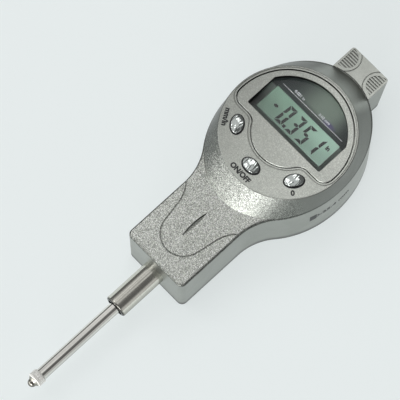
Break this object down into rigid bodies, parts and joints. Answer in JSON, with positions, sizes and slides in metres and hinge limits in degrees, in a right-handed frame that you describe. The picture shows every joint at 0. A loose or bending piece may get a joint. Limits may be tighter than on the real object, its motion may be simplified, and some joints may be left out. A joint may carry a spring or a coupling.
{
  "type": "electronic indicator",
  "caption": "Electronic indicator with round display head, rectangular neck, plain mounting stem and a spring-loaded measuring spindle with ball contact point.",
  "frame": {"origin": "on the spindle axis, where the stem leaves the end of the neck", "axes": "+Y along the spindle towards the head and end cap, +Z out of the display face, +X to the right seen from the face"},
  "size_m": [0.0476, 0.1497, 0.0302],
  "materials": {
    "body_paint": "metallic silver paint, fine sparkle",
    "panel_paint": "metallic silver paint, satin",
    "cap_paint": "metallic silver paint, satin",
    "rear_paint": "satin grey paint",
    "window": "clear polished window",
    "mask_print": "dark gloss print",
    "lcd": "grey-green liquid crystal cell",
    "holder_plastic": "white moulded plastic",
    "elastomer": "striped conductive elastomer",
    "board": "green fibreglass board",
    "chip_plastic": "black moulded epoxy",
    "crystal_can": "plated can",
    "switch_plastic": "black switch body",
    "button_chrome": "bright chrome plate",
    "fastener_steel": "zinc plated steel",
    "chassis_alloy": "machined aluminium",
    "stem_steel": "fine ground stainless steel",
    "spindle_steel": "polished stainless steel",
    "point_steel": "hardened polished steel",
    "bushing_bronze": "sintered bronze",
    "wiper_rubber": "black rubber",
    "scale_board": "etched copper on fibreglass",
    "spring_wire": "music wire",
    "tray_plastic": "black moulded plastic",
    "cell_can": "nickel plated can",
    "contact_plate": "nickel plated spring brass",
    "connector_plastic": "black header block"
  },
  "bodies": {
    "housing": {"front_cover": "body_paint", "display_panel": "panel_paint", "rear_cover": "rear_paint", "rear_cover_screws": "fastener_steel", "window_lens": "window", "display_mask": "mask_print", "lcd_glass": "lcd", "lcd_holder": "holder_plastic", "zebra_connectors": "elastomer", "main_board": "board", "main_board_screws": "fastener_steel", "processor_chip": "chip_plastic", "clock_crystal": "crystal_can", "button_switches": "switch_plastic", "chassis": "chassis_alloy", "chassis_screws": "fastener_steel", "stem": "stem_steel", "lower_bushing": "bushing_bronze", "upper_bushing": "bushing_bronze", "dust_wiper": "wiper_rubber", "stem_set_screw": "fastener_steel", "stop_bumper": "wiper_rubber", "reader_board": "board", "board_connectors": "connector_plastic", "return_spring": "spring_wire", "spring_anchor_post": "fastener_steel", "battery_contact_positive": "contact_plate", "battery_contact_negative": "contact_plate"},
    "spindle_assembly": {"spindle": "spindle_steel", "contact_point": "point_steel", "scale_carrier": "chassis_alloy", "carrier_clamp_screw": "fastener_steel", "guide_pin": "fastener_steel", "scale_strip": "scale_board", "spring_moving_post": "fastener_steel"},
    "battery_drawer": {"end_cap": "cap_paint", "battery_tray": "tray_plastic", "coin_cell": "cell_can"},
    "button_mm_in_body": {"button_mm_in": "button_chrome"},
    "button_on_off_body": {"button_on_off": "button_chrome"},
    "button_zero_body": {"button_zero": "button_chrome"}
  },
  "joints": [
    {"name": "spindle_slide", "type": "slide", "parent": "housing", "child": "spindle_assembly", "axis": [0, 1, 0], "range_m": [0, 0.0254], "stiffness_N_per_m": 40, "springref_m": -0.03, "deforming": ["return_spring"]},
    {"name": "button_mm_in_press", "type": "slide", "parent": "housing", "child": "button_mm_in_body", "axis": [0, 0, -1], "range_m": [0, 0.0005], "stiffness_N_per_m": 2400, "springref_m": -0.0002},
    {"name": "button_on_off_press", "type": "slide", "parent": "housing", "child": "button_on_off_body", "axis": [0, 0, -1], "range_m": [0, 0.0005], "stiffness_N_per_m": 2400, "springref_m": -0.0002},
    {"name": "button_zero_press", "type": "slide", "parent": "housing", "child": "button_zero_body", "axis": [0, 0, -1], "range_m": [0, 0.0005], "stiffness_N_per_m": 2400, "springref_m": -0.0002},
    {"name": "battery_tray_slide", "type": "slide", "parent": "housing", "child": "battery_drawer", "axis": [0, 1, 0], "range_m": [0, 0.016]}
  ]
}
